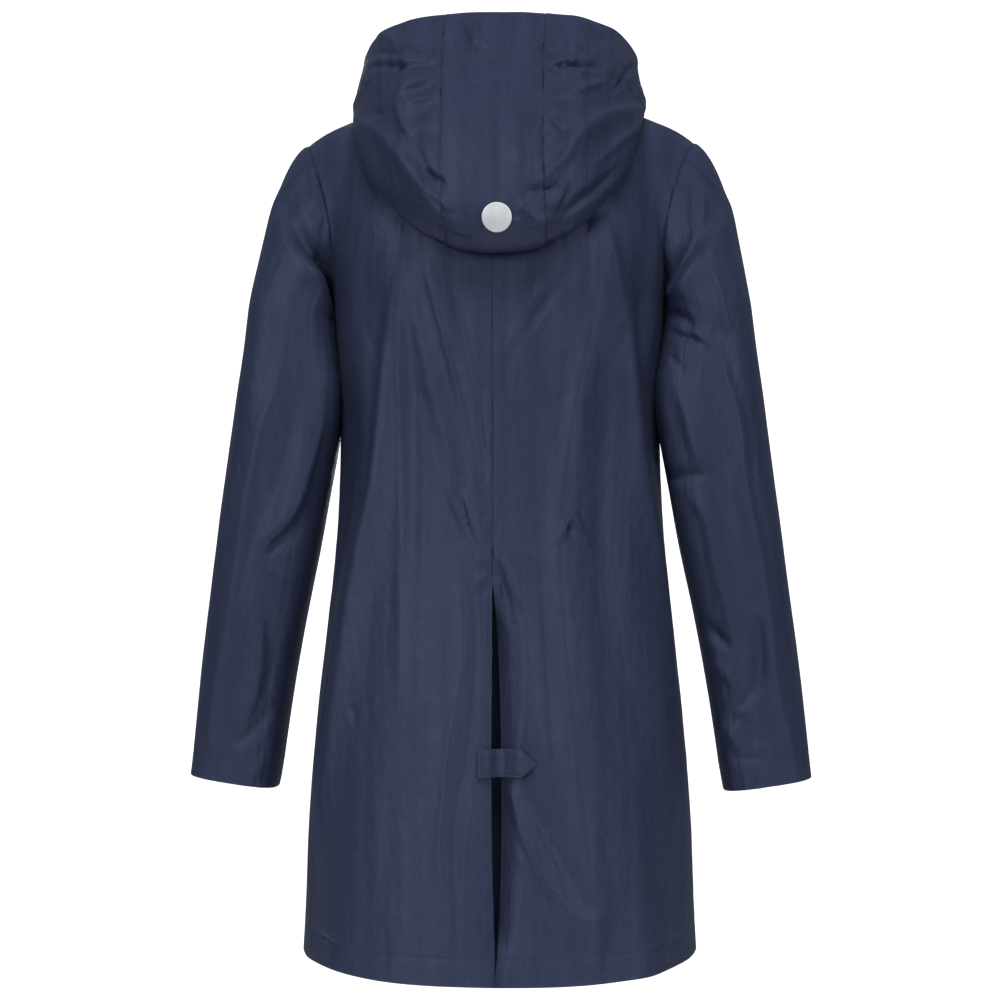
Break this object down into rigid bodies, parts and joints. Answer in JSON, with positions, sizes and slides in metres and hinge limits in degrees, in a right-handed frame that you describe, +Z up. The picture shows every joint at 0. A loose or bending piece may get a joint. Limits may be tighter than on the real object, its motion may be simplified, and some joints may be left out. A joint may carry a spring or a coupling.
{
  "type": "hooded raincoat",
  "caption": "Knee-length hooded raincoat in its worn shape, hood lowered, with set-in sleeves and a back vent closed by a tab.",
  "frame": {"origin": "middle of the neck, level with the shoulders, where the wearer holds the coat up", "axes": "+Z up, +Y towards the coat's back, +X towards the wearer's left"},
  "size_m": [0.6441, 0.329, 0.9527],
  "materials": {
    "navy_cloth": "fine weave, slight sheen",
    "stud_metal": "dark satin",
    "reflective_silver": "retroreflective film"
  },
  "bodies": {
    "root": {"back_left": "navy_cloth", "back_right": "navy_cloth", "front_left": "navy_cloth", "front_right": "navy_cloth", "front_placket": "navy_cloth", "sleeve_upper_left": "navy_cloth", "sleeve_under_left": "navy_cloth", "sleeve_upper_right": "navy_cloth", "sleeve_under_right": "navy_cloth", "hood_centre": "navy_cloth", "hood_left": "navy_cloth", "hood_right": "navy_cloth", "vent_gusset": "navy_cloth", "vent_tab": "navy_cloth", "press_stud_1": "stud_metal", "press_stud_2": "stud_metal", "press_stud_3": "stud_metal", "press_stud_4": "stud_metal", "press_stud_5": "stud_metal", "press_stud_6": "stud_metal", "reflective_dot": "reflective_silver"}
  },
  "joints": []
}
